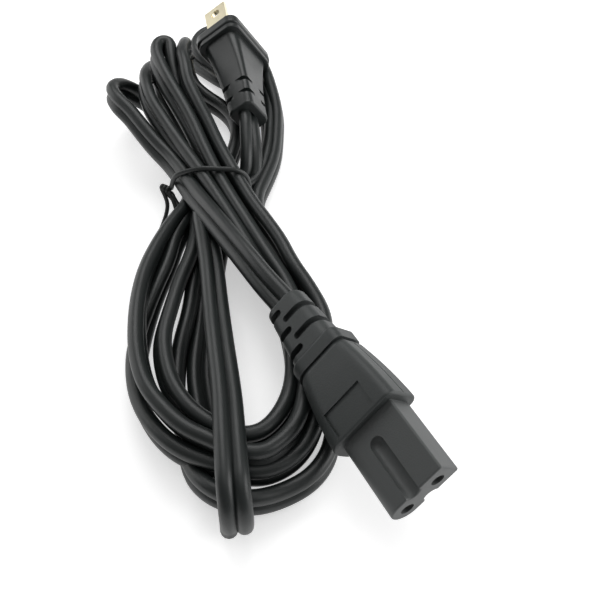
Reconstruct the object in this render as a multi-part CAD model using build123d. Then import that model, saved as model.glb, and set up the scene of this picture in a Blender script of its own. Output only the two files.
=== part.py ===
"""Mains cord for small appliances: blade plug, twin lead wound in a tied hank, two-pole connector."""
import os
from math import cos, radians, sin, tan

from build123d import *

# Twin-lead cord: two round lobes side by side, in millimetres as everything here
cord_width = 6.9
cord_thickness = 3.7
copper_radius = 0.6

# Contact carrier: the hard nose of the connector, polarised by one square end
nose_width = 15.7
nose_height = 7.4
nose_length = 17.3
nose_square_corner = 0.5
nose_edge = 0.4
groove_radius = 1.75
groove_depth = 1.6
groove_rear_land = 3.4
tongue_length = 7.5
tongue_inset = 1.2

# Sockets: brass sleeves behind the entry holes, with crimps for the copper
pole_pitch = 8.6
entry_radius = 1.5
entry_depth = 3.0
sleeve_bore_radius = 1.25
sleeve_wall = 0.55
sleeve_length = 11.0
crimp_radius = 1.15
crimp_length = 4.0
copper_in_crimp = 2.5

# Grip moulded over the carrier, with a crease, a collar and a slotted strain relief
grip_width = 19.4
grip_height = 11.4
grip_length = 17.0
grip_belly = 0.7
grip_rear_width = 15.2
grip_rear_height = 9.8
grip_round_corner = 4.6
grip_square_corner = 2.2
grip_edge = 0.6
crease_width = 1.3
crease_depth = 0.6
collar_length = 3.4
collar_edge = 0.8
relief_length = 15.3
relief_base_width = 12.2
relief_base_height = 8.8
relief_end_width = 9.8
relief_end_height = 7.0
relief_corner = 3.0
relief_edge = 0.7
slot_count = 5
slot_width = 1.6
slot_lead_in = 0.7
slot_run_out = 0.6
left_slot_end = -0.5
right_slot_end = -1.2
slot_core_wall = 0.7
label_width = 10.6
label_length = 6.0
label_depth = 0.45
label_land = 1.1
seam_width = 0.3
seam_depth = 0.2
cord_in_grip = 16.0
connector_lead_straight = 3.0

# Plug: moulded body over a bridge that holds two brass blades
flange_width = 22.0
flange_height = 16.0
flange_thickness = 4.0
flange_corner = 3.2
flange_edge = 0.9
rim_groove_width = 0.6
rim_groove_depth = 0.5
rim_step_length = 1.5
rim_step_inset = 0.4
body_inset = 1.7
shoulder_length = 6.5
shoulder_width = 15.0
shoulder_height = 11.2
plug_neck_length = 24.8
plug_neck_corner = 2.3
plug_end_width = 10.4
plug_end_height = 8.6
plug_end_edge = 0.6
rib_count = 2
rib_pitch = 5.6
rib_gap = 1.6
rib_flat_margin = 0.1
rib_end_land = 5.8
blade_spacing = 12.7
blade_thickness = 1.5
blade_length = 15.9
blade_chamfer = 0.6
wide_blade_width = 7.94
narrow_blade_width = 6.35
blade_hole_radius = 1.6
blade_hole_from_tip = 4.2
bridge_thickness = 4.0
bridge_margin = 2.0
bridge_lip = 1.0
bridge_cover = 1.2
blade_crimp_length = 3.5
cord_in_plug = 15.0
plug_lead_straight = 2.0

# Where the connector lies: middle of its mating face, heading from straight front, roll about its length
connector_place = (29.0, -87.9, 18.0)
connector_heading = 29.4
connector_roll = 43.7

# Where the plug lies: middle of its flange, heading from straight back, roll, on one corner of the flange
plug_place = (-16.5, 73)
plug_heading = 10.5
plug_roll = 56.6

# Twist tie round the hank
tie_place = (-17.6, 8.5)
tie_heading = 1.0
tie_wire = 1.0
tie_width = 1.4
tie_knot_radius = 1.4
tie_knot_length = 3.6
tie_knot_overlap = 1.0
tie_tail_width = 1.8
tie_tail_thickness = 1.0
tie_long_tail = (-1.4, -6.2, 8.6)
tie_short_tail = (2.2, -3.0, 4.2)

# Hank: neck inside the tie, ring in front of it, fan of loops behind it
neck_width = 24.6
neck_height = 15.4
neck_length = 7.0
neck_corner = 7.0
knot_share_of_neck = 0.45
ring_height = 15.4
ring_height_at_neck = 7.4
ring_slope_length = 34.0
fan_height_at_neck = 15.0
fan_over_plug = 0.3
fan_length = 62.0
soft_clearance = 0.3
corner_slack = 0.05

ring_outside = [
    (-28.5, 9), (-34.5, -19), (-36.5, -46), (-29.5, -69), (-14.5, -83), (2.5, -85.5),
    (14.5, -76), (18, -59), (15.5, -39), (6.5, -15), (-6, 9),
]
ring_inside = [
    (-18.5, -13), (-24.5, -33), (-25, -51), (-18.5, -63), (-8.5, -67.5),
    (-0.5, -61), (1.5, -49), (-2.5, -34), (-10.5, -18),
]
fan_outside = [
    (-28.5, 12), (-49.5, 40), (-52, 46.5), (-46.5, 50), (-40.5, 45), (-43.5, 55), (-39.5, 62.5),
    (-30.5, 72), (-24.5, 70), (-23.5, 57), (-15.5, 35), (-6.5, 12),
]
ring_corner = 5.0
fan_corner = 2.2

# Hand-chosen points of the free cord: connector to neck, neck to plug, side loop on the floor, front run
connector_lead_route = [(-9.1, -20.5, 19.0), (-15.8, -6.5, 17.2), (-21.0, 5.6, 13.6)]
plug_lead_route = [(-8.9, 28, 11.2), (-8.7, 19, 9.4), (-9.5, 10, 7.6)]
side_loop_route = [
    (-6, 18.5), (-3, 28), (-1.5, 40), (-1.7, 53), (-3.2, 66), (-5.5, 78),
    (-8.5, 88), (-15, 95), (-23, 95.5), (-29.5, 90.5), (-32, 82.5),
]
front_run_start = (-20.5, 4)
front_run_end = (-7.5, -90.5)
front_run_neck_height = 9.4
front_run_slope = 30.0
front_run_sag = 2.0
front_run_fold_radius = 7.0


def face_of(points, corner):
    """A flat outline with rounded corners, lying on the floor."""
    return make_face(FilletPolyline(*points, radius=corner, close=True))


def polarised_section(width, height, round_corner, square_corner):
    """A rounded rectangle whose left corners and right corners differ."""
    sketch = Rectangle(width, height)
    by_side = sketch.vertices().sort_by(Axis.X)
    left = min(round_corner, height / 2 - corner_slack)
    sketch = fillet(by_side[:2], left)
    return fillet(sketch.vertices().sort_by(Axis.X)[-2:], square_corner)


def rounded(width, height, corner):
    """A rounded rectangle whose corner stays inside the shorter side."""
    return RectangleRounded(width, height, min(corner, min(width, height) / 2 - corner_slack))


def behind(depth, sketch):
    """A section set at a depth behind the mating face, which looks along +Z."""
    return Pos(0, 0, -depth) * sketch


def block(sketch, start, end):
    """A straight block between two depths behind the mating face."""
    return extrude(behind(end, sketch), amount=end - start)


def tapered(*stations, straight=True):
    """A body through sections at depths behind the mating face, straight or rounded between them."""
    return loft([behind(depth, sketch).faces()[0] for depth, sketch in stations], ruled=straight)


def rear_edges(solid):
    """The edges of a solid's rearmost face."""
    return solid.edges().group_by(Axis.Z)[0]


def copper_tail(from_x, from_depth, to_x, to_depth):
    """A bare copper end that runs slantwise between two depths, with its end faces square to the length."""
    return tapered(
        (from_depth, Pos(from_x, 0) * Circle(copper_radius)),
        (to_depth, Pos(to_x, 0) * Circle(copper_radius)),
    )


def cord_section():
    """The cord's outer shape: a flat band with round edges."""
    return SlotOverall(cord_width, cord_thickness)


def cord_radii(points):
    """The largest arc that the two runs at each corner of a route allow."""
    radii = []
    for before, here, after in zip(points, points[1:], points[2:]):
        run_in = Vector(*here) - Vector(*before)
        run_out = Vector(*after) - Vector(*here)
        half_turn = radians(run_in.get_angle(run_out)) / 2
        radii.append(0.45 * min(run_in.length, run_out.length) / tan(half_turn))
    return radii


def cord_tube(name, points, across, section):
    """The cord along a route of straight runs and tangent arcs, starting with its width along a direction."""
    radii = cord_radii(points)
    path = FilletPolyline(*points, radius=radii)
    start = Plane(origin=points[0], x_dir=across, z_dir=Vector(*points[1]) - Vector(*points[0]))
    tube = sweep(start * section, path=path)
    print(name, "arc radii", [round(radius) for radius in radii], "length", round(path.length))
    print(name, "volume", round(tube.volume), "of", round(section.area * path.length))
    return tube


# Depths behind the connector's mating face
crimp_start = nose_length + tongue_length
crimp_end = crimp_start + crimp_length
grip_end = nose_length + grip_length
crease_end = grip_end + crease_width
collar_end = crease_end + collar_length
connector_length = collar_end + relief_length
cord_end_depth = connector_length - cord_in_grip
lobe_offset = (cord_width - cord_thickness) / 2
sleeve_radius = sleeve_bore_radius + sleeve_wall


def make_carrier():
    """Nose and tongue in one moulding, grooved above and below, with two stepped holes."""
    section = polarised_section(nose_width, nose_height, nose_height / 2, nose_square_corner)
    nose = block(section, 0, nose_length)
    groove_end = nose_length - groove_rear_land - groove_radius
    for side in (1, -1):
        axis_height = side * (nose_height / 2 + groove_radius - groove_depth)
        nose -= block(Pos(0, axis_height) * Circle(groove_radius), 0, groove_end)
        nose -= Pos(0, axis_height, -groove_end) * Sphere(groove_radius)
    nose = fillet(nose.edges().group_by(Axis.Z)[-1], nose_edge)
    tongue_width = nose_width - 2 * tongue_inset
    tongue_height = nose_height - 2 * tongue_inset
    tongue = block(rounded(tongue_width, tongue_height, nose_square_corner), nose_length, crimp_start)
    carrier = nose + tongue
    for side in (-1, 1):
        pole = Pos(side * pole_pitch / 2, 0)
        carrier -= block(pole * Circle(entry_radius), 0, entry_depth)
        carrier -= block(pole * Circle(sleeve_radius), entry_depth, entry_depth + sleeve_length)
        carrier -= block(pole * Circle(crimp_radius), entry_depth + sleeve_length, crimp_start)
    return carrier


def make_contact(side):
    """Drawn brass sleeve with a closed end, and a stem that ends in a crimp round the copper."""
    pole = Pos(side * pole_pitch / 2, 0)
    sleeve_end = entry_depth + sleeve_length
    contact = block(pole * Circle(sleeve_radius), entry_depth, sleeve_end)
    contact += block(pole * Circle(crimp_radius), sleeve_end, crimp_end)
    contact -= block(pole * Circle(sleeve_bore_radius), entry_depth, sleeve_end - sleeve_wall)
    return contact - make_connector_copper(side)


def make_connector_copper(side):
    """Bare copper from the crimp to the end of the cord's insulation."""
    pole_x = side * pole_pitch / 2
    seated = block(Pos(pole_x, 0) * Circle(copper_radius), crimp_end - copper_in_crimp, crimp_end)
    return seated + copper_tail(pole_x, crimp_end, side * lobe_offset, cord_end_depth)


def grip_shape(extra):
    """Outer shape of the grip, collar and strain relief, grown by an extra amount all round."""
    grow = 2 * extra

    def grip_section(width, height):
        return polarised_section(width + grow, height + grow, grip_round_corner, grip_square_corner)

    front = grip_section(grip_width, grip_height)
    middle_width = (grip_width + grip_rear_width) / 2 + grip_belly
    middle_height = (grip_height + grip_rear_height) / 2 + grip_belly / 2
    middle = grip_section(middle_width, middle_height)
    rear = grip_section(grip_rear_width, grip_rear_height)
    grip = tapered(
        (nose_length - extra, front),
        (nose_length + grip_length / 2, middle),
        (grip_end, rear),
        straight=False,
    )
    grip = fillet(grip.edges().group_by(Axis.Z)[-1], grip_edge)
    crease_floor = grip_section(grip_rear_width - 2 * crease_depth, grip_rear_height - 2 * crease_depth)
    collar = block(rear, crease_end, collar_end)
    collar = fillet(rear_edges(collar), collar_edge)
    relief_base = rounded(relief_base_width + grow, relief_base_height + grow, relief_corner + extra)
    relief_end = rounded(relief_end_width + grow, relief_end_height + grow, relief_corner + extra)
    relief = tapered((collar_end, relief_base), (connector_length + extra, relief_end))
    relief = fillet(rear_edges(relief), relief_edge)
    return grip + tapered((grip_end, rear), (crease_end, crease_floor)) + collar + relief


def make_grip():
    """Grip with its label recess, mould seam and relief slots, moulded round everything inside it."""
    grip = grip_shape(0)
    label_middle = nose_length + label_land + label_length / 2
    label_plane = Plane((0, 0, -label_middle), x_dir=(1, 0, 0), z_dir=(0, 1, 0))
    label = extrude(label_plane * Rectangle(label_width, label_length), amount=grip_height)
    grip -= label - grip_shape(-label_depth)
    seam = block(Rectangle(2 * grip_width, seam_width), nose_length + grip_edge, grip_end)
    grip -= seam - grip_shape(-seam_depth)
    core_sketch = SlotOverall(cord_width + 2 * slot_core_wall, cord_thickness + 2 * slot_core_wall)
    core = block(core_sketch, collar_end, connector_length)
    slot_pitch = relief_length / (slot_count + slot_run_out)
    for index in range(slot_count):
        inner_end, outer_end = (left_slot_end, -relief_base_width)
        if index % 2:
            inner_end, outer_end = (right_slot_end, relief_base_width)
        depth = collar_end + (index + slot_lead_in) * slot_pitch
        across = Plane(((inner_end + outer_end) / 2, 0, -depth), x_dir=(1, 0, 0), z_dir=(0, 1, 0))
        slot = SlotOverall(abs(outer_end - inner_end), slot_width)
        grip -= extrude(across * slot, amount=relief_base_height, both=True) - core
    return grip


# Depths behind the plug's flange
rim_end = flange_thickness + rim_groove_width
step_end = rim_end + rim_step_length
shoulder_end = step_end + shoulder_length
plug_length = shoulder_end + plug_neck_length
bridge_end = bridge_cover + bridge_thickness
blade_crimp_end = bridge_end + blade_crimp_length
plug_cord_depth = plug_length - cord_in_plug


def plug_shape(extra):
    """Outer shape of the plug body, grown by an extra amount all round."""
    def plug_section(width, height, corner):
        return rounded(width + 2 * extra, height + 2 * extra, corner + extra)

    def flange_inset(inset):
        return plug_section(flange_width - 2 * inset, flange_height - 2 * inset, flange_corner)

    plate = block(flange_inset(0), -extra, flange_thickness)
    plate = fillet(plate.edges().group_by(Axis.Z)[-1] + rear_edges(plate), flange_edge)
    groove_floor = block(flange_inset(rim_groove_depth), flange_thickness - flange_edge, rim_end)
    step = block(flange_inset(rim_step_inset), rim_end, step_end)
    step = fillet(rear_edges(step), rim_step_inset)
    shoulder = plug_section(shoulder_width, shoulder_height, plug_neck_corner)
    neck_end = plug_section(plug_end_width, plug_end_height, plug_neck_corner)
    body = tapered(
        (step_end, flange_inset(body_inset)),
        (shoulder_end, shoulder),
        (plug_length + extra, neck_end),
        straight=False,
    )
    body = fillet(rear_edges(body), plug_end_edge)
    return plate + groove_floor + step + body


def make_plug_body():
    """Plug body with grooves across the corners of its strain relief."""
    body = plug_shape(0)
    sheet = Rectangle(flange_width, flange_height)
    for index in range(rib_count):
        front = plug_length - rib_end_land - index * rib_pitch - rib_gap / 2
        neck = (body & block(sheet, front, front + rib_gap)).bounding_box().size
        core = rounded(neck.X + rib_flat_margin, neck.Y + rib_flat_margin, neck.Y / 2)
        body -= block(sheet - core, front, front + rib_gap)
    return body


def make_blade(side, width):
    """Folded brass blade with a hole near its tip and a crimp at its root."""
    x = side * blade_spacing / 2
    blade = block(Pos(x, 0) * Rectangle(blade_thickness, width), -blade_length, bridge_end)
    tip_edges = blade.edges().group_by(Axis.Z)[-1]
    blade = chamfer(tip_edges.filter_by(Axis.Y), blade_chamfer)
    across = Plane((x, 0, blade_length - blade_hole_from_tip), x_dir=(0, 1, 0), z_dir=(1, 0, 0))
    blade -= extrude(across * Circle(blade_hole_radius), amount=blade_thickness, both=True)
    blade += block(Pos(x, 0) * Circle(crimp_radius), bridge_end, blade_crimp_end)
    return blade - make_plug_copper(side)


def make_plug_copper(side):
    """Bare copper from a blade's crimp to the end of the cord's insulation."""
    pole_x = side * blade_spacing / 2
    seated = block(Pos(pole_x, 0) * Circle(copper_radius), blade_crimp_end - copper_in_crimp, blade_crimp_end)
    return seated + copper_tail(pole_x, blade_crimp_end, side * lobe_offset, plug_cord_depth)


def make_bridge():
    """Moulded plate that holds both blades at their spacing."""
    width = blade_spacing + blade_thickness + 2 * bridge_margin
    height = wide_blade_width + 2 * bridge_lip
    return block(rounded(width, height, bridge_margin), bridge_cover, bridge_end)


def lying_plane(place, forward, side, roll):
    """A plane at a place that looks along a level direction, rolled about it from its level side."""
    up = Vector(0, 0, 1)
    across = side * cos(radians(roll)) + up * sin(radians(roll))
    return Plane(origin=place, x_dir=across, z_dir=forward)


# Connector and plug, made about their own axes and then laid down
heading = radians(connector_heading)
connector_plane = lying_plane(
    connector_place,
    Vector(sin(heading), -cos(heading), 0),
    Vector(cos(heading), sin(heading), 0),
    connector_roll,
)
heading = radians(plug_heading)
roll = radians(plug_roll)
corner_cut = flange_corner * (sin(roll) + cos(roll) - 1)
plug_height = flange_width / 2 * sin(roll) + flange_height / 2 * cos(roll) - corner_cut
plug_plane = lying_plane(
    (*plug_place, plug_height),
    Vector(-sin(heading), cos(heading), 0),
    Vector(cos(heading), sin(heading), 0),
    -plug_roll,
)
connector_frame = connector_plane.location
plug_frame = plug_plane.location

carrier = connector_frame * make_carrier()
left_contact = connector_frame * make_contact(-1)
right_contact = connector_frame * make_contact(1)
left_copper = connector_frame * make_connector_copper(-1)
right_copper = connector_frame * make_connector_copper(1)
wide_blade = plug_frame * make_blade(-1, wide_blade_width)
narrow_blade = plug_frame * make_blade(1, narrow_blade_width)
wide_copper = plug_frame * make_plug_copper(-1)
narrow_copper = plug_frame * make_plug_copper(1)
bridge = plug_frame * make_bridge() - wide_blade - narrow_blade

# Leads: each starts square to its end inside the moulding and runs to the neck of the hank
def inside(plane, depth):
    """A point on the axis of a connector or plug, at a depth behind its face."""
    return tuple(plane.from_local_coords(Vector(0, 0, -depth)))


connector_points = [
    inside(connector_plane, cord_end_depth),
    inside(connector_plane, connector_length + connector_lead_straight),
]
connector_lead = cord_tube(
    "lead_to_connector", connector_points + connector_lead_route, connector_plane.x_dir, cord_section())
plug_points = [inside(plug_plane, plug_cord_depth), inside(plug_plane, plug_length + plug_lead_straight)]
plug_lead = cord_tube("lead_to_plug", plug_points + plug_lead_route, plug_plane.x_dir, cord_section())

grip = connector_frame * make_grip()
for piece in (carrier, left_contact, right_contact, left_copper, right_copper, connector_lead):
    grip -= piece
plug_body = plug_frame * make_plug_body()
for piece in (bridge, wide_blade, narrow_blade, wide_copper, narrow_copper, plug_lead):
    plug_body -= piece

# Hank: solids of its outer shape, which meet at the neck inside the tie
tie_turn = radians(tie_heading)
tie_plane = Plane(
    (*tie_place, 0), x_dir=(cos(tie_turn), -sin(tie_turn), 0), z_dir=(-sin(tie_turn), -cos(tie_turn), 0))
neck_middle = Pos(0, tie_wire + neck_height / 2)
neck_outline = neck_middle * RectangleRounded(neck_width, neck_height, neck_corner)
neck = extrude(tie_plane * neck_outline, amount=neck_length / 2, both=True)


def under_slope(origin, along, profile, reach):
    """Everything under a height profile that runs along a level direction."""
    level_side = Vector(*along).cross(Vector(0, 0, 1))
    side_view = Plane(origin, x_dir=along, z_dir=level_side)
    return extrude(side_view * make_face(Polyline(*profile, close=True)), amount=reach, both=True)


connector_room = connector_frame * grip_shape(soft_clearance)
connector_room += connector_frame * block(Rectangle(nose_width, nose_height), 0, nose_length)
plug_room = plug_frame * plug_shape(soft_clearance)
far = 2 * fan_length
fan_height_at_tips = 2 * plug_height + fan_over_plug
ring_slope = [
    (-far, 0), (-far, ring_height_at_neck), (0, ring_height_at_neck),
    (ring_slope_length, ring_height), (far, ring_height), (far, 0),
]
front = tuple(tie_plane.z_dir)
ring = extrude(face_of(ring_outside, ring_corner) - face_of(ring_inside, ring_corner), amount=ring_height)
ring = ring & under_slope((*tie_place, 0), front, ring_slope, far)
fan_slope = [
    (-far, 0), (-far, fan_height_at_neck), (0, fan_height_at_neck),
    (fan_length, fan_height_at_tips), (far, fan_height_at_tips), (far, 0),
]
back = tuple(-tie_plane.z_dir)
fan = extrude(face_of(fan_outside, fan_corner), amount=fan_height_at_tips)
fan = fan & under_slope((*tie_place, 0), back, fan_slope, far)
fan -= plug_room
tie_room_outline = neck_middle * Rectangle(2 * neck_width, 2 * neck_height)
tie_room = extrude(tie_plane * tie_room_outline, amount=neck_length / 2, both=True)
upper_loops = (fan - tie_room) + neck
lower_coil = ring - tie_room - connector_room - connector_lead

# Front run: over the ring and round its front, in one upright plane
run_along = Vector(*front_run_end, 0) - Vector(*front_run_start, 0)
run_length = run_along.length
run_plane = Plane((*front_run_start, 0), x_dir=run_along, z_dir=run_along.cross(Vector(0, 0, 1)))
over_ring = ring_height + cord_thickness / 2 + soft_clearance
fold = front_run_fold_radius
run_heights = [
    (0, front_run_neck_height),
    (front_run_slope, over_ring - front_run_sag),
    (run_length - 3 * fold, over_ring),
    (run_length - cord_thickness / 2, over_ring - fold / 4),
    (run_length - cord_thickness / 2, fold / 2),
    (run_length - 2 * fold, cord_thickness / 2),
]
run_points = [tuple(run_plane.from_local_coords(Vector(x, y, 0))) for x, y in run_heights]
front_run = cord_tube("front_run", run_points, tuple(run_plane.z_dir), cord_section())
front_run = front_run - lower_coil - upper_loops - connector_lead

side_points = [(x, y, cord_thickness / 2) for x, y in side_loop_route]
first_run = Vector(*side_points[1]) - Vector(*side_points[0])
side_loop = cord_tube("side_loop", side_points, tuple(first_run.cross(Vector(0, 0, 1))), cord_section())
side_loop = side_loop - upper_loops - plug_room

lower_coil -= front_run
connector_lead -= upper_loops
plug_lead -= upper_loops

# Twist tie: a coated wire round the neck, twisted once at the left, with two short tails
tie_outline = neck_middle * RectangleRounded(
    neck_width + 2 * tie_wire, neck_height + 2 * tie_wire, neck_corner + tie_wire)
tie = extrude(tie_plane * (tie_outline - neck_outline), amount=tie_width / 2, both=True)
knot_height = tie_wire + knot_share_of_neck * neck_height
knot_start = neck_width / 2 + tie_wire / 2
knot_plane = Plane(
    tuple(tie_plane.from_local_coords(Vector(-knot_start, knot_height, 0))),
    x_dir=tuple(tie_plane.z_dir), z_dir=tuple(-tie_plane.x_dir))
knot = extrude(knot_plane * Circle(tie_knot_radius), amount=tie_knot_length)
tie += knot - neck
tail_section = RectangleRounded(tie_tail_width, tie_tail_thickness, tie_tail_thickness / 3)
for across, rise, reach in (tie_long_tail, tie_short_tail):
    tail_start = Vector(-knot_start - tie_knot_length + tie_knot_overlap, knot_height, 0)
    tail_middle = tail_start + Vector(across / 2, rise / 3, reach / 2)
    tail_end = tail_start + Vector(across, rise, reach)
    tail_points = [tuple(tie_plane.from_local_coords(point)) for point in (tail_start, tail_middle, tail_end)]
    tail_path = FilletPolyline(*tail_points, radius=cord_radii(tail_points))
    tail_plane = Plane(tail_points[0], z_dir=Vector(*tail_points[1]) - Vector(*tail_points[0]))
    tie += sweep(tail_plane * tail_section, path=tail_path)

nodes = {
    "contact_carrier": carrier,
    "left_contact": left_contact,
    "right_contact": right_contact,
    "left_connector_copper": left_copper,
    "right_connector_copper": right_copper,
    "connector_grip": grip,
    "plug_body": plug_body,
    "plug_bridge": bridge,
    "wide_blade": wide_blade,
    "narrow_blade": narrow_blade,
    "wide_blade_copper": wide_copper,
    "narrow_blade_copper": narrow_copper,
    "lead_to_connector": connector_lead,
    "lead_to_plug": plug_lead,
    "front_run": front_run,
    "side_loop": side_loop,
    "lower_coil": lower_coil,
    "upper_loops": upper_loops,
    "twist_tie": tie,
}
os.makedirs("parts", exist_ok=True)
for name, shape in nodes.items():
    export_step(shape, f"parts/{name}.step")
    print(name, len(shape.solids()), "solid", round(shape.volume, 1), "mm3")
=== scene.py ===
"""Mains cord for small appliances, in a hank held by a twist tie, dressed around its CAD frame."""
from math import acos, cos, pi, radians, sin

import bmesh
import bpy
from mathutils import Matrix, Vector


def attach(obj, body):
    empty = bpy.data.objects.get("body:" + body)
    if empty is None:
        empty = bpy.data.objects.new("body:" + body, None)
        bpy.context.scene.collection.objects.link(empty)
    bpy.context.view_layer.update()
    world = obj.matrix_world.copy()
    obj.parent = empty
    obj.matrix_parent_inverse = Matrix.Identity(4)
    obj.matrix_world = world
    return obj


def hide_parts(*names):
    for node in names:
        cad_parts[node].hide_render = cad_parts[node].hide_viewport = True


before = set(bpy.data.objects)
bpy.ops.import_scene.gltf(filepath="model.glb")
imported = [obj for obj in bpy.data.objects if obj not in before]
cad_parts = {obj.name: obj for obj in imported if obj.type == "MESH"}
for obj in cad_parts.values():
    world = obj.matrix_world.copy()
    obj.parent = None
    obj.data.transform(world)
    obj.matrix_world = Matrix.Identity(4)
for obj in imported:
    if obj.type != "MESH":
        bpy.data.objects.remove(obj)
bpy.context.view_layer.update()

# Twin-lead cord: one length of soft black vinyl, extruded as two round lobes that share a thin web.
# It is wound in five turns in front of the tie and five loops behind it, most of it lying on edge.
# A row is a point of its middle line in millimetres, and its width's lean up from level in degrees.
cord_width = 0.0069
cord_lobe_radius = 0.00185
cord_web_half = 0.0009
cord_lobe_steps = 12
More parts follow.
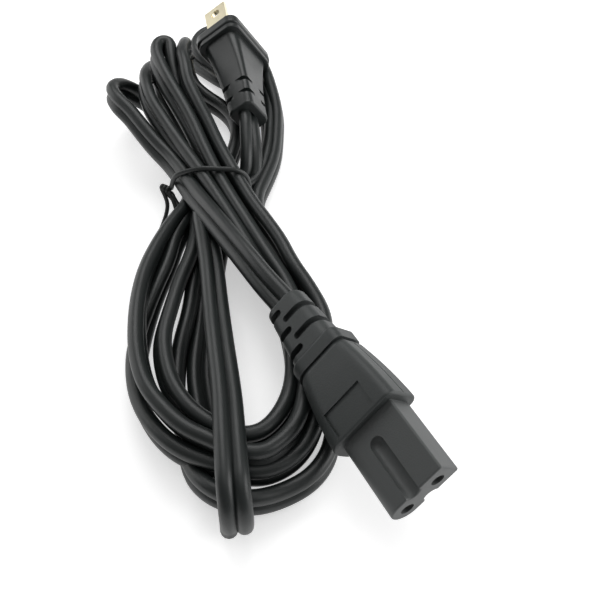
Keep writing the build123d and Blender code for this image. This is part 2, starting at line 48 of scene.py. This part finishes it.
cord_route = [
    # from the connector back to the tie
    (8.5, -52, 18, 44), (3, -41.5, 18, 46), (-2.5, -34.5, 18.5, 52), (-7.5, -26.5, 18.5, 56),
    (-14, -14.5, 16, 60),
    # loop 1 behind the tie, the leftmost
    (-23, 2.5, 12, 64), (-30, 16, 11.5, 67), (-36, 22.5, 13, 70), (-40.5, 28, 15, 73),
    (-44, 32.5, 16.5, 74), (-48, 36.5, 17.5, 76), (-50.5, 41.5, 17.5, 82), (-49.5, 46.5, 15.5, 90),
    (-47.5, 51, 11, 90), (-44.5, 52.5, 7.5, 90), (-40.5, 50, 5.5, 90), (-35.5, 42.5, 5, 90),
    (-31, 33, 4.5, 90),
    # turn A in front of the tie, on top at the left
    (-25.5, 12, 4, 90), (-25.5, 3.5, 6, 85), (-28.5, -5, 8, 82), (-31.5, -14.5, 9.5, 98),
    (-33.5, -24.5, 10.5, 100), (-33.5, -35, 11.5, 92), (-32.5, -44.5, 12, 86), (-31, -52, 12, 80),
    (-28.5, -59, 12, 80), (-24.5, -64.5, 12, 80), (-19, -70, 12, 80), (-13, -73, 12, 82),
    (-8, -75.5, 12, 86), (-2.5, -76.5, 11.5, 98), (1.5, -73.5, 11, 98), (5, -68.5, 10.5, 94),
    (6.5, -62, 10, 90), (7, -53.5, 9.5, 90), (6.5, -44.5, 9.5, 90), (5, -36, 9.5, 90), (2, -27.5, 10, 90),
    (-2.5, -20, 11, 90), (-7.5, -10, 11.5, 90), (-12.5, -0.5, 12, 90),
    # loop 3 behind the tie
    (-18, 10.5, 13, 85), (-22, 18.5, 15, 75), (-25.5, 26.5, 17, 70), (-29.5, 34, 19, 68),
    (-33.5, 41, 21, 68), (-36.5, 48, 22, 72), (-38, 53.5, 22.5, 82), (-37.5, 57.5, 22.5, 88),
    (-35.5, 58.5, 22.5, 92), (-34, 57.5, 22, 95), (-33.5, 53.5, 21, 96), (-32.5, 48.5, 19, 94),
    (-30.5, 42.5, 16, 92), (-27, 36, 12, 90), (-24, 29.5, 8, 90),
    # turn B in front of the tie, the innermost
    (-21, 13, 4, 90), (-23.5, 3.5, 4.5, 85), (-22, -6.5, 6, 92), (-23, -17, 7.5, 102),
    (-25, -26, 8.5, 108), (-26, -35.5, 9.5, 110), (-27, -44.5, 10, 110), (-25.5, -52.5, 10.5, 110),
    (-23, -59, 10.5, 108), (-19, -64.5, 10.5, 102), (-14.5, -68, 10.5, 96), (-9, -71, 10.5, 92),
    (-4, -71, 10, 90), (0, -67.5, 9.5, 90), (3, -61, 9, 90), (4, -54, 8.5, 90), (3.5, -46, 8.5, 90),
    (1.5, -37.5, 9, 90), (-1.5, -28.5, 10, 90), (-6, -20, 11, 90), (-10.5, -11.5, 12, 90),
    (-16, -1, 12.5, 90),
    # loop 2 behind the tie
    (-22, 9.5, 13.5, 85), (-29, 20, 15, 75), (-34, 28, 16.5, 70), (-38, 34.5, 18, 68),
    (-40, 41, 18.5, 70), (-41.5, 48.5, 17.5, 80), (-41, 58, 14, 90), (-39.5, 59.5, 11.5, 90),
    (-38.5, 53.5, 10, 90), (-34.5, 44, 9, 90), (-29, 32.5, 7, 90),
    # turn C in front of the tie, under turns A and B
    (-24, 20, 5, 90), (-25, 6, 4, 85), (-25, 0.5, 5, 82), (-27.5, -8, 6, 80), (-28.5, -17, 6, 92),
    (-31, -27, 5.5, 88), (-32.5, -35.5, 5, 80), (-33.5, -44, 4.5, 70), (-33, -51, 5, 74),
    (-31, -59, 5.5, 80), (-27, -66.5, 7, 86), (-21.5, -72.5, 8, 90), (-15.5, -75.5, 8, 90),
    (-9, -77.5, 8, 90), (-3, -78.5, 7.5, 88), (2.5, -76, 7, 86), (6.5, -71.5, 6.5, 86), (9, -66, 7.5, 88),
    (10, -60, 8.5, 90), (11.5, -52.5, 8.5, 90), (11.5, -44.5, 8.5, 90), (11.5, -36.5, 8, 90),
    (7.5, -28, 9, 90), (3.5, -21.5, 10, 90), (0.5, -14, 10.5, 90), (-3.5, -7, 11, 90), (-7.5, 0, 11, 90),
    # loop 4 behind the tie, and back low down beside the plug
    (-12.5, 10, 12, 88), (-17.5, 19.5, 14, 82), (-21, 27, 16.5, 78), (-24.5, 33.5, 19, 76),
    (-27.5, 40, 21, 76), (-28.5, 46, 22.5, 80), (-30, 53, 22.5, 90), (-30, 62.5, 19.5, 90),
    (-31, 70, 13.5, 90), (-31, 67, 9, 90), (-29, 60, 6.5, 90), (-24.5, 55.5, 5, 90),
    (-18.5, 50.5, 4.5, 90), (-14.5, 43.5, 4.5, 90), (-13.5, 35, 4.5, 90), (-15, 26.5, 4, 90),
    # turn D in front of the tie, the lowest
    (-17.5, 14, 4.5, 90), (-20, 0, 4, 90), (-21, -13.5, 4, 98), (-21.5, -24.5, 4, 106), (-22, -33, 4, 92),
    (-23.5, -42, 3.5, 90), (-23.5, -51.5, 3.5, 88), (-22, -60.5, 3.5, 85), (-20, -68.5, 3.5, 85),
    (-18, -75.5, 4, 85), (-14.5, -80.5, 6, 85), (-10, -83.5, 7, 85), (-4.5, -84, 6, 85),
    (1.5, -81.5, 4, 85), (8, -77.5, 3.5, 85), (12, -71.5, 3.5, 88), (13, -64.5, 3.5, 90),
    (12, -56, 3.5, 90), (8.5, -47, 3.5, 90), (6, -39, 3.5, 90), (3, -30, 3.5, 90), (0.5, -20.5, 3.5, 90),
    (-3, -10, 3.5, 90), (-5, 0, 4, 90),
    # loop 5 behind the tie, the large one on the floor round the plug
    (-7, 8, 4.5, 88), (-4.5, 17, 4, 88), (-2, 27.5, 3.5, 86), (-1.5, 38.5, 3.5, 84), (-1.5, 50, 3.5, 82),
    (-3.5, 61.5, 3.5, 82), (-6, 72.5, 3.5, 84), (-10.5, 84, 3.5, 86), (-16, 92.5, 3.5, 88),
    (-22.5, 96.5, 3.5, 88), (-27.5, 95, 3.5, 88), (-30.5, 90, 3.5, 86), (-31, 83.5, 3.5, 70),
    (-29, 79, 3, 40), (-25.5, 75.5, 2.5, 12), (-19, 69, 2, 0), (-13, 66.5, 2, 0), (-8, 65, 2.5, 10),
    (-5, 54, 3, 46), (-4, 40.5, 3.5, 76), (-4.5, 26.5, 3.5, 82), (-6.5, 17, 3.5, 84),
    # over the front, folded at its end, and back along the floor
    (-11, 12, 4, 96), (-17.5, 7.5, 6.5, 118), (-21, -0.5, 9.5, 134), (-18.5, -12.5, 11, 138),
    (-16.5, -23, 12.5, 140), (-14.5, -37, 13.5, 144), (-12.5, -49.5, 15, 148), (-10, -64, 16.5, 153),
    (-9, -73, 17.5, 160), (-8, -81.5, 17.5, 168), (-7.5, -85.5, 17, 175), (-7, -89.5, 13.5, 180),
    (-7, -90, 8.5, 180), (-7.5, -88.5, 4, 180), (-8, -83.5, 2, 180), (-9.5, -78.5, 2, 180),
    (-12.5, -73.5, 2, 180), (-14, -66.5, 2, 180), (-16.5, -58, 2, 180), (-18.5, -48, 2, 180),
    (-18, -37, 2, 180), (-18, -24, 2, 180), (-17.5, -9.5, 2, 180), (-15, 3.5, 2.5, 175),
    (-11, 15, 3, 165),
    # up from the floor into the plug
    (-8.5, 19, 5.5, 152), (-8.5, 23.5, 9, 146), (-9, 29, 11, 138), (-9.5, 34.5, 12.5, 128),
    (-10.5, 40, 12.5, 124), (-12, 49, 12.5, 123),
]


def metres(rows):
    """The places in the rows, turned from millimetres into metres."""
    return [tuple(value / 1000 for value in row[:3]) for row in rows]


def smooth_curve(name, rows):
    """A curve object of one NURBS spline with the rows as its control points."""
    steps_between_points = 6
    curve = bpy.data.curves.new(name, "CURVE")
    curve.dimensions = "3D"
    curve.resolution_u = steps_between_points
    spline = curve.splines.new("NURBS")
    spline.points.add(len(rows) - 1)
    for point, row in zip(spline.points, rows):
        point.co = (*row, 1.0)
    spline.order_u = 3
    spline.use_endpoint_u = True
    holder = bpy.data.objects.new(name, curve)
    bpy.context.collection.objects.link(holder)
    return holder


def line_of(rows):
    """Points along the smooth line that a NURBS spline draws with the rows as its control points."""
    holder = smooth_curve("route", rows)
    line = bpy.data.meshes.new_from_object(holder)
    points = [vertex.co.copy() for vertex in line.vertices]
    bpy.data.curves.remove(holder.data)
    bpy.data.meshes.remove(line)
    return points


def twin_lead_profile():
    """Outline of both lobes across the width, pulled in at the web."""
    offset = cord_width / 2 - cord_lobe_radius
    meet = acos(-offset / cord_lobe_radius)
    outline = []
    for side in (1, -1):
        for step in range(cord_lobe_steps):
            angle = -meet + 2 * meet * step / cord_lobe_steps
            across = side * (offset + cord_lobe_radius * cos(angle))
            rise = side * cord_lobe_radius * sin(angle)
            if step == 0:
                across = 0.0
                rise = -side * cord_web_half
            outline.append((across, rise))
    return outline


def twin_lead_mesh(name, line, leans, outline):
    """A tube with the outline's shape along a line, its width leaning up from level at each point.

    Where the line stands nearly upright, the width keeps the side that it had before.
    """
    nearly_upright = 0.25
    mesh = bmesh.new()
    along = mesh.loops.layers.uv.new("UVMap")
    up = Vector((0, 0, 1))
    side = None
    rings = []
    travelled = 0.0
    for index, point in enumerate(line):
        before = line[max(index - 1, 0)]
        after = line[min(index + 1, len(line) - 1)]
        tangent = (after - before).normalized()
        level = tangent.cross(up)
        if side is None or level.length > nearly_upright:
            level.normalize()
            if side is not None and level.dot(side) < 0:
                level = -level
            side = level
        width = cos(leans[index]) * side + sin(leans[index]) * up
        width = (width - tangent * width.dot(tangent)).normalized()
        thickness = tangent.cross(width)
        travelled += (point - before).length
        ring = [mesh.verts.new(point + width * across + thickness * rise) for across, rise in outline]
        rings.append((ring, travelled))
    count = len(outline)
    for (ring, start), (following, end) in zip(rings, rings[1:]):
        for corner in range(count):
            nearby = (corner + 1) % count
            face = mesh.faces.new((ring[corner], ring[nearby], following[nearby], following[corner]))
            face.smooth = True
            places = ((start, corner), (start, corner + 1), (end, corner + 1), (end, corner))
            for loop, (distance, turn) in zip(face.loops, places):
                loop[along].uv = (distance, turn / count)
            on_web = corner % (count // 2) == 0
            mesh.edges.get((ring[corner], following[corner])).smooth = not on_web
    mesh.faces.new(list(reversed(rings[0][0])))
    mesh.faces.new(rings[-1][0])
    bmesh.ops.recalc_face_normals(mesh, faces=mesh.faces)
    data = bpy.data.meshes.new(name)
    mesh.to_mesh(data)
    mesh.free()
    return data


def new_piece(name, data, material):
    """A finished piece at the origin that rides on the one body, with its material."""
    piece = bpy.data.objects.new(name, data)
    bpy.context.collection.objects.link(piece)
    data.materials.clear()
    data.materials.append(material)
    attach(piece, "root")
    return piece


def new_material(name, colour, roughness):
    """A material of one colour and roughness, with its node tree and its shader."""
    material = bpy.data.materials.new(name)
    material.use_nodes = True
    tree = material.node_tree
    shader = tree.nodes["Principled BSDF"]
    shader.inputs["Base Color"].default_value = (*colour, 1.0)
    shader.inputs["Roughness"].default_value = roughness
    return material, tree, shader


def add_node(tree, kind, **values):
    """A node of a kind, with its named inputs set."""
    node = tree.nodes.new(kind)
    for socket, value in values.items():
        node.inputs[socket].default_value = value
    return node


def vary(tree, source, low, high, target):
    """A value from nought to one, spread between two limits and led into an input."""
    spread = add_node(tree, "ShaderNodeMapRange")
    spread.inputs["To Min"].default_value = low
    spread.inputs["To Max"].default_value = high
    tree.links.new(source, spread.inputs["Value"])
    tree.links.new(spread.outputs["Result"], target)


def noise_in_solid(tree, scale, detail):
    """The value of a noise that fills the solid, as its own coordinates measure it."""
    solid = add_node(tree, "ShaderNodeTexCoord")
    noise = add_node(tree, "ShaderNodeTexNoise", Scale=scale, Detail=detail)
    tree.links.new(solid.outputs["Object"], noise.inputs["Vector"])
    return noise.outputs["Fac"]


def raise_grain(tree, shader, source, strength, distance):
    """A texture's value as fine relief on a shader's surface."""
    bump = add_node(tree, "ShaderNodeBump", Strength=strength, Distance=distance)
    tree.links.new(source, bump.inputs["Height"])
    tree.links.new(bump.outputs["Normal"], shader.inputs["Normal"])


def jacket_vinyl():
    """Soft black vinyl with faint streaks along the extrusion and a cloudy sheen."""
    material, tree, shader = new_material("jacket_vinyl", colour=(0.0095, 0.0125, 0.012), roughness=0.4)
    place = add_node(tree, "ShaderNodeUVMap")
    stretch = add_node(tree, "ShaderNodeMapping", Scale=(90.0, 26.0, 1.0))
    streaks = add_node(tree, "ShaderNodeTexNoise", Scale=1.0, Detail=4.0)
    tree.links.new(place.outputs["UV"], stretch.inputs["Vector"])
    tree.links.new(stretch.outputs["Vector"], streaks.inputs["Vector"])
    vary(tree, streaks.outputs["Fac"], low=0.34, high=0.5, target=shader.inputs["Roughness"])
    grain = noise_in_solid(tree, scale=2600.0, detail=2.0)
    raise_grain(tree, shader, grain, strength=0.12, distance=0.0002)
    return material


cord_points = line_of(metres(cord_route))
# The leans are a spline of their own, so that each point along the cord has one
cord_leans = [radians(turned.x) for turned in line_of([(lean, 0, 0) for x, y, z, lean in cord_route])]
cord_data = twin_lead_mesh("cord", cord_points, cord_leans, twin_lead_profile())
cord = new_piece("cord", cord_data, jacket_vinyl())
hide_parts("lead_to_connector", "lead_to_plug", "front_run", "side_loop", "lower_coil", "upper_loops")


# Connector: a hard black nose that carries two brass sockets, with a softer grip moulded over its rear.
# The grip ends in a collar and a slotted strain relief round the cord.
def moulded_black(name, colour, roughness, grain_size, grain_depth):
    """Moulded black plastic with a fine eroded grain and slightly cloudy gloss."""
    cloudiness = 0.06
    material, tree, shader = new_material(name, colour, roughness)
    cloud = noise_in_solid(tree, scale=140.0, detail=3.0)
    vary(tree, cloud, roughness - cloudiness, roughness + cloudiness, shader.inputs["Roughness"])
    grain = noise_in_solid(tree, scale=1.0 / grain_size, detail=2.0)
    raise_grain(tree, shader, grain, strength=0.25, distance=grain_depth)
    return material


def drawn_metal(name, colour, roughness):
    """Bare metal with a finely clouded shine."""
    shinier = 0.05
    duller = 0.1
    material, tree, shader = new_material(name, colour, roughness)
    shader.inputs["Metallic"].default_value = 1.0
    cloud = noise_in_solid(tree, scale=900.0, detail=3.0)
    vary(tree, cloud, roughness - shinier, roughness + duller, shader.inputs["Roughness"])
    return material


def finish_nodes(material, *nodes):
    """CAD nodes kept as they are, with their material."""
    for node in nodes:
        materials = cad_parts[node].data.materials
        materials.clear()
        materials.append(material)


nose_plastic = moulded_black(
    "nose_plastic", colour=(0.066, 0.0705, 0.07), roughness=0.5, grain_size=0.00035, grain_depth=0.0001)
grip_vinyl = moulded_black(
    "grip_vinyl", colour=(0.031, 0.0355, 0.035), roughness=0.52, grain_size=0.0004, grain_depth=0.00012)
brass = drawn_metal("brass", colour=(0.88, 0.80, 0.58), roughness=0.28)
copper = drawn_metal("copper", colour=(0.76, 0.42, 0.26), roughness=0.35)
finish_nodes(nose_plastic, "contact_carrier")
finish_nodes(grip_vinyl, "connector_grip")
finish_nodes(brass, "left_contact", "right_contact")
finish_nodes(copper, "left_connector_copper", "right_connector_copper")

# Plug: a soft body moulded over a plate with two brass blades, with a grooved strain relief.
# It lies on one corner of its flange, with the blades towards the back.
plug_vinyl = moulded_black(
    "plug_vinyl", colour=(0.0115, 0.0145, 0.014), roughness=0.38, grain_size=0.0004, grain_depth=0.0001)
finish_nodes(plug_vinyl, "plug_body")
finish_nodes(nose_plastic, "plug_bridge")
finish_nodes(brass, "wide_blade", "narrow_blade")
finish_nodes(copper, "wide_blade_copper", "narrow_blade_copper")

# Twist tie: a thin wire in a flat black coating, bent once round the hank in one plane.
# Its two ends are twisted together at the left, and stick out as a long and a short tail.
# The rows are points of its middle line in millimetres.
tie_width = 0.0014
tie_thickness = 0.0011
tie_long_tail = [
    (-33.5, 0.6, 0.8), (-32.8, 2.4, 1.8), (-31.8, 4.4, 3.8), (-31.4, 6.2, 5.7), (-32.2, 8, 7.4),
    (-33.2, 9.4, 8.6),
]
tie_wrap = [
    # up at the left and over the hank
    (-30.2, 9, 9.4), (-29.6, 8.9, 11.8), (-28.3, 8.6, 14.4), (-25.2, 8.2, 15.9), (-21, 7.8, 17.4),
    (-16.6, 7.9, 17), (-12, 8.4, 16.4), (-9, 8.8, 14),
    # down at the right and back along the floor
    (-8.4, 9, 9), (-8.5, 9, 4), (-9, 9, 0.8), (-13, 9, 0.7), (-20, 9, 0.7), (-26.5, 9, 0.8),
    (-29, 9.1, 2.4), (-30, 9.2, 5), (-30.4, 9.2, 7),
]
tie_short_tail = [
    (-33, 9.2, 8.2), (-31.6, 8.4, 7.6), (-30.2, 7.6, 6.6), (-29.5, 6.4, 5.2), (-29.2, 5.4, 4.2),
]
twist_start = Vector((-30.8, 9.2, 8.1))
twist_end = Vector((-33.0, 9.6, 8.8))
twist_radius = 0.75
twist_quarters = 5


def twisted_end(phase):
    """Points of one of the two ends as they wind round each other."""
    points = []
    for quarter in range(twist_quarters + 1):
        angle = phase + quarter * pi / 2
        middle = twist_start.lerp(twist_end, quarter / twist_quarters)
        points.append(tuple(middle + twist_radius * Vector((0, cos(angle), sin(angle)))))
    return points


def ribbon_tree():
    """Nodes that draw an oval ribbon along a curve, with its width, thickness and finish as inputs."""
    tree = bpy.data.node_groups.new("tie_ribbon", "GeometryNodeTree")
    wanted = (("Geometry", "Geometry"), ("Width", "Float"), ("Thickness", "Float"), ("Finish", "Material"))
    for name, kind in wanted:
        tree.interface.new_socket(name, in_out="INPUT", socket_type="NodeSocket" + kind)
    tree.interface.new_socket("Geometry", in_out="OUTPUT", socket_type="NodeSocketGeometry")
    given = tree.nodes.new("NodeGroupInput")
    oval = add_node(tree, "GeometryNodeCurvePrimitiveCircle", Resolution=14, Radius=0.5)
    size = tree.nodes.new("ShaderNodeCombineXYZ")
    shaped = tree.nodes.new("GeometryNodeTransform")
    ribbon = tree.nodes.new("GeometryNodeCurveToMesh")
    ribbon.inputs["Fill Caps"].default_value = True
    smooth = tree.nodes.new("GeometryNodeSetShadeSmooth")
    whole = tree.nodes.new("GeometryNodeRealizeInstances")
    coated = tree.nodes.new("GeometryNodeSetMaterial")
    result = tree.nodes.new("NodeGroupOutput")
    links = (
        (given.outputs["Thickness"], size.inputs["X"]),
        (given.outputs["Width"], size.inputs["Y"]),
        (oval.outputs["Curve"], shaped.inputs["Geometry"]),
        (size.outputs["Vector"], shaped.inputs["Scale"]),
        (given.outputs["Geometry"], ribbon.inputs["Curve"]),
        (shaped.outputs["Geometry"], ribbon.inputs["Profile Curve"]),
        (ribbon.outputs["Mesh"], smooth.inputs["Geometry"]),
        (smooth.outputs["Geometry"], whole.inputs["Geometry"]),
        (whole.outputs["Geometry"], coated.inputs["Geometry"]),
        (given.outputs["Finish"], coated.inputs["Material"]),
        (coated.outputs["Geometry"], result.inputs["Geometry"]),
    )
    for source, target in links:
        tree.links.new(source, target)
    return tree


def ribbon_along(rows, values):
    """The plain mesh of a ribbon along the smooth line that the rows draw."""
    holder = smooth_curve("tie_line", rows)
    modifier = holder.modifiers.new("ribbon", "NODES")
    modifier.node_group = ribbon_tree()
    for item in modifier.node_group.interface.items_tree:
        if item.in_out == "INPUT" and item.name in values:
            modifier[item.identifier] = values[item.name]
    evaluated = holder.evaluated_get(bpy.context.evaluated_depsgraph_get())
    mesh = bpy.data.meshes.new_from_object(evaluated)
    bpy.data.curves.remove(holder.data)
    return mesh


tie_coating = moulded_black(
    "tie_coating", colour=(0.018, 0.0205, 0.02), roughness=0.42, grain_size=0.0004, grain_depth=0.00008)
tie_rows = tie_long_tail + twisted_end(0.0)[::-1] + tie_wrap + twisted_end(pi) + tie_short_tail
tie_look = {"Width": tie_width, "Thickness": tie_thickness, "Finish": tie_coating}
tie_data = ribbon_along(metres(tie_rows), tie_look)
tie = new_piece("hank_tie", tie_data, tie_coating)
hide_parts("twist_tie")


# Floor: a white sheet that the hank lies on and that shows its soft shadow.
# To the eye and in the gloss it is as white as a lit studio sheet, without lighting the cord more.
def share_seen(tree):
    """One for what the camera sees, directly, in a gloss or through glass, and nought for other light."""
    rays = tree.nodes.new("ShaderNodeLightPath")
    share = rays.outputs["Is Camera Ray"]
    for ray in ("Is Glossy Ray", "Is Transmission Ray"):
        either = tree.nodes.new("ShaderNodeMath")
        either.operation = "MAXIMUM"
        tree.links.new(share, either.inputs[0])
        tree.links.new(rays.outputs[ray], either.inputs[1])
        share = either.outputs[0]
    return share


floor_size = 3.0
floor_data = bpy.data.meshes.new("floor")
half = floor_size / 2
corners = [(-half, -half, 0), (half, -half, 0), (half, half, 0), (-half, half, 0)]
floor_data.from_pydata(corners, [], [(0, 1, 2, 3)])
floor = bpy.data.objects.new("floor", floor_data)
bpy.context.collection.objects.link(floor)
white_sheet, sheet_tree, sheet_shader = new_material("white_sheet", colour=(0.9, 0.9, 0.9), roughness=0.9)
sheet_glow = sheet_shader.inputs["Emission Strength"]
sheet_shader.inputs["Emission Color"].default_value = (1, 1, 1, 1)
vary(sheet_tree, share_seen(sheet_tree), low=0.0, high=0.5, target=sheet_glow)
floor_data.materials.append(white_sheet)

# Light: soft boxes overhead, behind, at the right and low behind at the left draw the streaks of gloss.
# The room round them is white to the eye alone, and adds a little even light.
world = bpy.data.worlds.new("studio")
bpy.context.scene.world = world
world.use_nodes = True
room = world.node_tree.nodes["Background"]
room.inputs["Color"].default_value = (1, 1, 1, 1)
rays = world.node_tree.nodes.new("ShaderNodeLightPath")
vary(world.node_tree, rays.outputs["Is Camera Ray"], low=0.22, high=1.0, target=room.inputs["Strength"])


def soft_lamp(name, place, size, power):
    """A square soft box that looks at the hank."""
    light = bpy.data.lights.new(name, "AREA")
    light.size = size
    light.energy = power
    lamp = bpy.data.objects.new(name, light)
    lamp.location = place
    lamp.rotation_euler = (-Vector(place)).to_track_quat("-Z", "Y").to_euler()
    bpy.context.collection.objects.link(lamp)


soft_lamp("overhead", place=(0.0, 0.0, 0.9), size=0.8, power=1.4)
soft_lamp("behind", place=(-0.05, 0.5, 0.7), size=0.5, power=2.6)
soft_lamp("right_side", place=(0.88, -0.05, 0.38), size=0.7, power=6.0)
soft_lamp("left_back", place=(-0.8, 0.42, 0.25), size=0.8, power=3.2)

# Camera: above the near edge of the table, looking down at fifty degrees from level.
view_down = 50
camera_data = bpy.data.cameras.new("camera")
camera_data.sensor_width = 36.0
camera_data.lens = 48.0
camera = bpy.data.objects.new("camera", camera_data)
camera.location = (0.0055, -0.15795, 0.15964)
camera.rotation_euler = (radians(90 - view_down), 0, 0)
bpy.context.collection.objects.link(camera)
bpy.context.scene.camera = camera
bpy.context.scene.view_settings.view_transform = "Standard"
